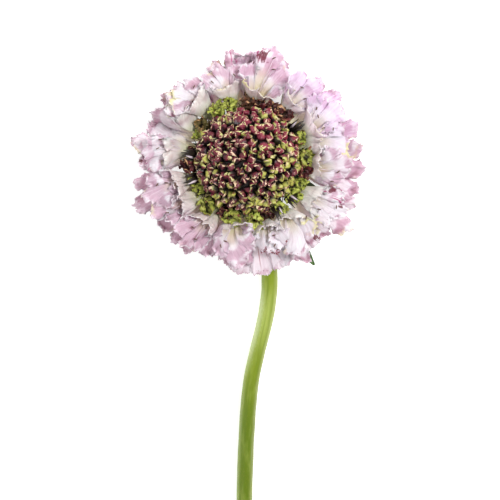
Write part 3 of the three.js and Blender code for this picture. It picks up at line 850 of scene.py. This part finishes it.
# ---- Bristles ----
# Every floret has a few stiff, nearly black bristles round its foot. They show in the gaps between the
# upper florets and the rim buds.
BRISTLE_TUFTS = 26
BRISTLE = {"out": 13.6, "z": 0.1, "reach": 3.8, "rise": 0.36, "radius": 0.26, "tip_radius": 0.03}
BARE_PLACES = [34.5, 175, 199, 301, 318]  # where a floret has dropped and its bristles are left
BARE_BRISTLE = {"out": 15.6, "z": 3.6, "tip_out": 17.9, "tip_z": 5.4, "radius": 0.55, "tip_radius": 0.08}
PALE_ONE = 5  # which of the seven at a bare place is pale and shorter
bristle_bm = bmesh.new()
for i in range(BRISTLE_TUFTS):
    azimuth = 2 * math.pi * (i + 0.5 * draw(i, 101)) / BRISTLE_TUFTS
    for j in range(5):
        swing = 0.13 * (j - 2) + spread(7 * i + j, 102, 0.1)
        reach = BRISTLE["reach"] * (0.75 + 0.4 * draw(7 * i + j, 103))
        root = on_head(azimuth, BRISTLE["out"], 0.3 * (j - 2), BRISTLE["z"])
        tip_z = BRISTLE["z"] + BRISTLE["rise"] * reach + spread(i, 104, 1)
        tip = on_head(azimuth + swing, BRISTLE["out"] + reach, 0, tip_z)
        add_between(bristle_bm, root, tip, BRISTLE["radius"], BRISTLE["tip_radius"], 0)
for i, degrees in enumerate(BARE_PLACES):
    for j in range(7):
        azimuth = math.radians(degrees + 1.3 * (j - 3))
        root = on_head(azimuth, BARE_BRISTLE["out"], 0, BARE_BRISTLE["z"] + spread(7 * i + j, 105, 0.6))
        pale = j == PALE_ONE
        tip_out = BARE_BRISTLE["tip_out"] + 2.0 * draw(7 * i + j, 107) - pale
        tip_z = BARE_BRISTLE["tip_z"] + draw(7 * i + j, 108)
        tip = on_head(azimuth + spread(7 * i + j, 106, 0.06), tip_out, 0, tip_z)
        add_between(bristle_bm, root, tip, BARE_BRISTLE["radius"], BARE_BRISTLE["tip_radius"], int(pale))
bristle_skin, tree, shader = start_material("bristle_skin", 0.45)
place = place_on_piece(tree)
colour = blended(tree, mottled(tree, place, 700), linear(22, 16, 16), linear(48, 38, 30))
paint(tree, shader, colour)
new_piece("bristles", bristle_bm, HEAD, [bristle_skin, filament])


# ---- Rim buds ----
# Crumpled half-open buds round the foot of the dome. They are bright green with red-brown edges to their
# lobes, dark red in some stretches of the rim, and largest on the side of the stem.
RIM_BUDS = 24
RIM = {"radius": 15.65, "z": 1.5, "bud_radius": 1.7, "bud_height": 2.6, "crumple": 1.4}
# where the buds are red rather than green: the middle and half width of each stretch in degrees
RED_STRETCHES = [(62, 38), (132, 8), (174, 15), (245, 8), (288, 11), (352, 6)]
ROOT_DEPTH = 1.1  # how deep a bud is sunk in what it grows from


def half_open_bud(name, segments, rings, radius, height):
    """Five crumpled lobes round a pit, with +Z outwards and the root sunk. It keeps how near each point is
    to the lobes' edge, and how deep in the pit or at the foot it is."""
    lip = 0.6
    bm = bmesh.new()
    edge_layer = bm.verts.layers.float.new("edge")
    depth_layer = bm.verts.layers.float.new("depth")
    bmesh.ops.create_uvsphere(bm, u_segments=segments, v_segments=rings, radius=1)
    for vert in bm.verts:
        turn = math.atan2(vert.co.y, vert.co.x)
        share = 1 - math.acos(max(-1.0, min(1.0, vert.co.z))) / math.pi
        lobe = abs(math.cos(2.5 * turn)) ** 0.6
        near_lip = math.exp(-(((share - lip) / 0.11) ** 2))
        if share <= lip:
            out = radius * (0.45 + 0.65 * share / lip) if share > 0.001 else 0
            z = -ROOT_DEPTH + (height + ROOT_DEPTH) * (share / lip) ** 1.2
        else:
            inwards = (share - lip) / (1 - lip)
            out = radius * 1.1 * (1 - inwards)
            z = height * (1 - 0.5 * math.sin(inwards * math.pi / 2))
        out *= 1 + 0.35 * near_lip * (lobe - 0.5)
        vert.co = Vector((out * math.cos(turn), out * math.sin(turn), z + 0.5 * near_lip * lobe))
        vert[edge_layer] = near_lip
        vert[depth_layer] = (share - lip) / (1 - lip) if share > lip else max(0.0, 1 - share / (0.6 * lip))
    return as_mesh(name, bm)


def set_bud(bm, mesh, place, direction, turn, scale, crumple, traits):
    """Sets one bud at its place in the head, crumpled a little in its own way."""
    layers = [bm.verts.layers.float.get(name) or bm.verts.layers.float.new(name) for name in traits]
    first = len(bm.verts)
    bm.from_mesh(mesh)
    bm.verts.ensure_lookup_table()
    new = bm.verts[first:]
    pointing = Vector((0, 0, 1)).rotation_difference(direction).to_matrix().to_4x4()
    matrix = Matrix.Translation(place) @ pointing @ Matrix.Rotation(turn, 4, "Z")
    matrix = matrix @ Matrix.Diagonal((*scale, 1))
    bmesh.ops.transform(bm, matrix=matrix, verts=new)
    for vert in new:
        vert.co += crumple * noise.noise_vector(vert.co * 0.9)
        fine = 0.45 * noise.noise_vector(vert.co * 2.4) + 0.22 * noise.noise_vector(vert.co * 5.3)
        vert.co += crumple * fine
        for layer, value in zip(layers, traits.values()):
            vert[layer] = value


rim_bm = bmesh.new()
rim_bud = half_open_bud("rim_bud", 56, 24, RIM["bud_radius"], RIM["bud_height"])
for i in range(RIM_BUDS):
    azimuth = 2 * math.pi * (i + 0.5 * draw(i, 31)) / RIM_BUDS
    stemward = 0.5 + 0.5 * math.cos(azimuth + math.radians(40))
    red = max(math.exp(-((math.degrees(azimuth) - middle) / half) ** 2) for middle, half in RED_STRETCHES)
    direction = on_head(azimuth, 1, 0, 0.85 + 0.5 * draw(i, 32)).normalized()
    place = on_head(azimuth, RIM["radius"], 0, RIM["z"] + 0.4 * draw(i, 33))
    size = 0.85 + 0.3 * stemward - 0.15 * red + spread(i, 35, 0.7)
    green = 0.78 - 0.9 * red + spread(i, 36, 0.6)
    wide, deep = size * (1 + spread(i, 37, 0.5)), size * (1 + spread(i, 38, 0.4))
    turn = 2 * math.pi * draw(i, 34)
    set_bud(rim_bm, rim_bud, place, direction, turn, (wide, size, deep), RIM["crumple"], {"green": green})
mark_crests(rim_bm)

rim_skin, tree, shader = start_material("rim_skin", 0.5)
place = place_on_piece(tree)
clouds = mottled(tree, place, 420)
greens = blended(tree, clouds, linear(110, 132, 24), linear(224, 226, 114))
reds = blended(tree, rising(tree, clouds, 0.42, 0.7), linear(64, 10, 20), linear(118, 48, 46))
colour = blended(tree, rising(tree, read(tree, "green"), 0.2, 0.7), reds, greens)
broken = worked(tree, "ADD", read(tree, "edge"), worked(tree, "MULTIPLY", mottled(tree, place, 600), 0.7))
rims = blended(tree, rising(tree, read(tree, "green"), 0.2, 0.7), linear(202, 156, 112), linear(104, 36, 32))
colour = blended(tree, rising(tree, broken, 1.27, 1.4), colour, rims)
# painted shade: hollows below the smoothed bud are painted dark olive
colour = blended(tree, rising(tree, read(tree, "crest"), -0.03, -0.4, 0.9), colour, linear(40, 36, 8))
# painted shade: the pit and the foot of each bud are painted nearly black
colour = blended(tree, rising(tree, read(tree, "depth"), 0.2, 0.8, 0.95), colour, linear(38, 30, 12))
paint(tree, shader, colour)
bump(tree, shader, mottled(tree, place, 1400, 4), 0.6, 0.0004)
stand_for("rim_buds", rim_bm, HEAD, [rim_skin])


# ---- Dome of closed buds ----
# The receptacle's dome, covered in closed buds, each a golden angle on from the last. A bud's two to four
# lobes lap over each other. They are burgundy with cream edges, and greener towards the rim and the stem.
DOME = {"radius": 14.6, "height": 12.6, "foot": -4.8}
DOME_BUD = {"count": 136, "end": math.radians(69), "crumple": 0.6}
GOLDEN_ANGLE = math.pi * (3 - math.sqrt(5))


def lapped_bud(name, widths, radius, height, step, swirl):
    """A closed bud of lobes that lap, with +Z outwards and its root sunk. widths are in columns of the mesh.
    It keeps how far each point is across its lobe, how high it is, and how far to one side of the bud."""
    rings = 10
    laps = [i / (width - 1) for width in widths for i in range(width)]
    bm = bmesh.new()
    layers = [bm.verts.layers.float.new(trait) for trait in ("lap", "rise", "side")]
    bmesh.ops.create_uvsphere(bm, u_segments=len(laps), v_segments=rings, radius=1)
    for vert in bm.verts:
        turn = math.atan2(vert.co.y, vert.co.x)
        up = vert.co.z
        out = math.hypot(vert.co.x, vert.co.y)
        lap = laps[round(turn / (2 * math.pi) * len(laps)) % len(laps)] if out > 0.05 else 0.7
        frill = 0.3 * lap**4 * noise.noise(Vector((5 * turn, 6 * up, swirl)))
        radial = radius * out**0.85 * (1 - 0.25 * max(0.0, -up)) * (1 - step / 2 + step * lap + frill)
        turn += swirl * up
        tip_lean = 0.35 * radius * max(0.0, up) ** 3
        vert.co = Vector((radial * math.cos(turn) + tip_lean, radial * math.sin(turn), 0))
        raised = 0.4 * (lap - 0.5) * out * max(0.0, up)
        vert.co.z = (height + ROOT_DEPTH) * (0.5 + 0.5 * up) - ROOT_DEPTH + raised
        for layer, value in zip(layers, (lap, up, vert.co.y / radius)):
            vert[layer] = value
    return as_mesh(name, bm)


dome_bm = bmesh.new()
bud_meshes = [
    lapped_bud("hooded_bud", (18, 10), 1.25, 2.1, 0.5, 0.5),
    lapped_bud("split_bud", (14, 14), 1.2, 2.2, 0.5, -0.6),
    lapped_bud("three_lobed_bud", (13, 8, 9), 1.22, 2.3, 0.46, 0.8),
    lapped_bud("four_lobed_bud", (9, 6, 8, 6), 1.24, 1.9, 0.4, -0.5),
]
for i in range(DOME_BUD["count"]):
    from_top = math.acos(1 - (1 - math.cos(DOME_BUD["end"])) * (i + 0.5) / DOME_BUD["count"])
    azimuth = i * GOLDEN_ANGLE
    out, up = math.sin(from_top), math.cos(from_top)
    place = on_head(azimuth, DOME["radius"] * out, 0, DOME["height"] * up)
    lean = Vector((spread(i, 25, 0.7), spread(i, 26, 0.7), spread(i, 27, 0.7)))
    outwards = on_head(azimuth, out / DOME["radius"], 0, up / DOME["height"]).normalized()
    direction = (outwards + lean).normalized()
    size = 1.05 + spread(i, 21, 0.4) + 0.05 * out
    stemward = (place.x * 0.5 - place.y * 0.85) / DOME["radius"]
    # rosier and lighter towards the upper right: partly the buds' own tone, partly painted light on that side
    rosy_and_lit = (place.x + place.y) / DOME["radius"] + spread(i, 24, 0.5)
    traits = {"rosy_and_lit": rosy_and_lit, "green": 0.45 * stemward + 0.4 * out**2 + spread(i, 23, 0.9)}
    turn = 2 * math.pi * draw(i, 22)
    set_bud(dome_bm, bud_meshes[i % 4], place, direction, turn, (size,) * 3, DOME_BUD["crumple"], traits)

arc = [math.pi / 24 * i for i in range(12, -1, -1)]
outline = [(0, DOME["foot"]), (10.4, DOME["foot"]), (11.2, -3.0), (12.0, -0.7)]
outline += [(DOME["radius"] * math.sin(t), DOME["height"] * math.cos(t)) for t in arc]
core_bm = spun(outline, 64)
skin_faces(core_bm, 0, 1)
dome_bm.from_mesh(as_mesh("core", core_bm))

bud_skin, tree, shader = start_material("bud_skin", 0.42)
place = place_on_piece(tree)
lap, rise = read(tree, "lap"), read(tree, "rise")
blotches, flecks = mottled(tree, place, 420), mottled(tree, place, 2300)
broken = worked(tree, "ADD", lap, worked(tree, "MULTIPLY", worked(tree, "SUBTRACT", flecks, 0.5), 1.1))
green = worked(tree, "ADD", read(tree, "green"), worked(tree, "MULTIPLY", read(tree, "side"), 0.45))
green = worked(tree, "ADD", green, worked(tree, "MULTIPLY", worked(tree, "SUBTRACT", blotches, 0.5), 1.6))
# painted shade: each lobe is painted darker towards the side tucked under its neighbour
faces = blended(tree, rising(tree, lap, 0.0, 0.8), linear(34, 4, 10), linear(112, 24, 46))
faces = blended(tree, rising(tree, blotches, 0.5, 0.75, 0.5), faces, linear(146, 66, 66))
# painted light, partly the buds' own rosier tone: lighter rose towards the upper right
faces = blended(tree, rising(tree, read(tree, "rosy_and_lit"), 0.1, 0.9, 0.6), faces, linear(150, 44, 68))
# the green lobes likewise get painted shade towards their tucked side
greens = blended(tree, rising(tree, lap, 0.0, 0.6), linear(86, 86, 28), linear(178, 176, 82))
colour = blended(tree, rising(tree, green, 0.42, 0.62), faces, greens)
edges = blended(tree, rising(tree, blotches, 0.4, 0.6), linear(232, 200, 168), linear(206, 206, 134))
edges = blended(tree, rising(tree, green, 0.6, 0.9), edges, linear(120, 62, 42))
colour = blended(tree, rising(tree, broken, 0.78, 0.9), colour, edges)
# painted shade: the low sides of the buds, sunk between their neighbours, are painted nearly black
colour = blended(tree, rising(tree, rise, 0.78, 0.2, 0.97), colour, linear(10, 2, 2))
paint(tree, shader, colour)
bump(tree, shader, mottled(tree, place, 1800, 4), 0.5, 0.0003)

# painted shade: the core shows only in the gaps between the buds, and is painted nearly black as the shade
# there
core_painted_shade, tree, shader = start_material("core_painted_shade", 0.8)
place = place_on_piece(tree)
colour = blended(tree, mottled(tree, place, 600), linear(9, 3, 3), linear(24, 11, 7))
paint(tree, shader, colour)
stand_for("dome_buds", dome_bm, HEAD, [bud_skin, core_painted_shade])
